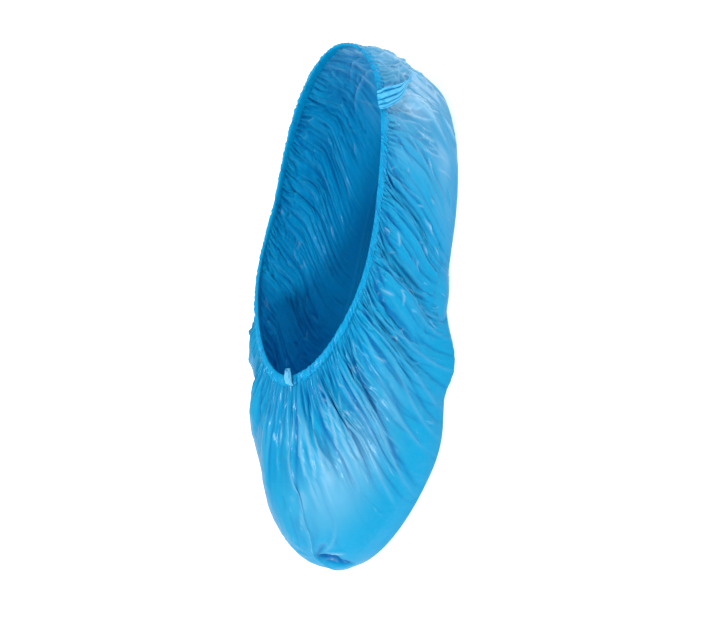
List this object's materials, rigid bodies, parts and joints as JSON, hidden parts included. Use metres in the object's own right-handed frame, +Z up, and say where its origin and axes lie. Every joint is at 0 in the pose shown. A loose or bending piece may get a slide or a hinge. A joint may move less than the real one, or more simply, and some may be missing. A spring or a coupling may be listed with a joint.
{
  "type": "disposable shoe cover",
  "caption": "Thin film overshoe for the left foot: a gathered bag with an elastic mouth, open at the top, closed by welded seams over the toe and at the heel.",
  "frame": {"origin": "on the inside of the sole film, where the middle of a shoe's sole stands, on the line from heel to toe", "axes": "+X to the toe, +Y to the outer side of the left foot, +Z up out of the mouth"},
  "size_m": [0.3127, 0.1253, 0.0878],
  "materials": {
    "film": "glossy, slightly see-through blown polyethylene film",
    "elastic": "matt, thin stretch band",
    "weld": "glossy, melted film"
  },
  "bodies": {
    "root": {"film_body": "film", "elastic_band": "elastic", "toe_seam": "weld", "heel_seam": "weld", "toe_tail": "weld", "heel_tail": "weld"}
  },
  "joints": []
}
